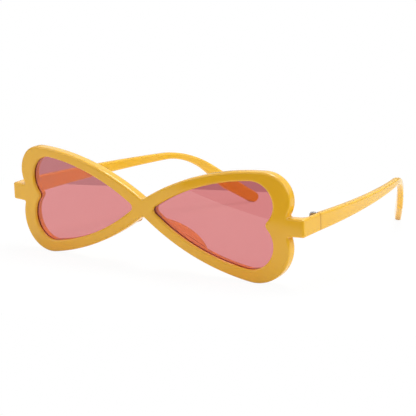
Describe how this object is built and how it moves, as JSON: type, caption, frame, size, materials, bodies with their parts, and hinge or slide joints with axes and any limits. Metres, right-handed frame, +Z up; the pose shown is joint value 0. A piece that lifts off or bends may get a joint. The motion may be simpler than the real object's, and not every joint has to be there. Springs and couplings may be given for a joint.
{
  "type": "heart shaped sunglasses",
  "caption": "Moulded sunglasses whose tinted lenses are hearts lying on their sides, point to point at the bridge, with temples that fold on small metal hinges.",
  "frame": {"origin": "middle of the box round the open glasses, on the table they stand on", "axes": "+Z up; the front faces -Y and the temples run back along +Y; +X is to the right seen from the front"},
  "size_m": [0.147, 0.1502, 0.0457],
  "materials": {
    "yellow_plastic": "polished",
    "pink_lens": "polished",
    "hinge_metal": "satin",
    "screw_steel": "polished"
  },
  "bodies": {
    "front": {"frame_front": "yellow_plastic", "lens_left": "pink_lens", "lens_right": "pink_lens", "nose_pad_left": "yellow_plastic", "nose_pad_right": "yellow_plastic", "hinge_front_left": "hinge_metal", "hinge_front_right": "hinge_metal", "hinge_screw_left": "screw_steel", "hinge_screw_right": "screw_steel"},
    "temple_left": {"temple_left": "yellow_plastic", "hinge_temple_left": "hinge_metal"},
    "temple_right": {"temple_right": "yellow_plastic", "hinge_temple_right": "hinge_metal"}
  },
  "joints": [
    {"name": "temple_left_fold", "type": "hinge", "parent": "front", "child": "temple_left", "pos_m": [-0.0701, -0.0556, 0.02495], "axis": [0, 0.0628, -0.998], "range_deg": [0, 81]},
    {"name": "temple_right_fold", "type": "hinge", "parent": "front", "child": "temple_right", "pos_m": [0.0701, -0.0556, 0.02495], "axis": [0, -0.0628, 0.998], "range_deg": [0, 75]}
  ]
}
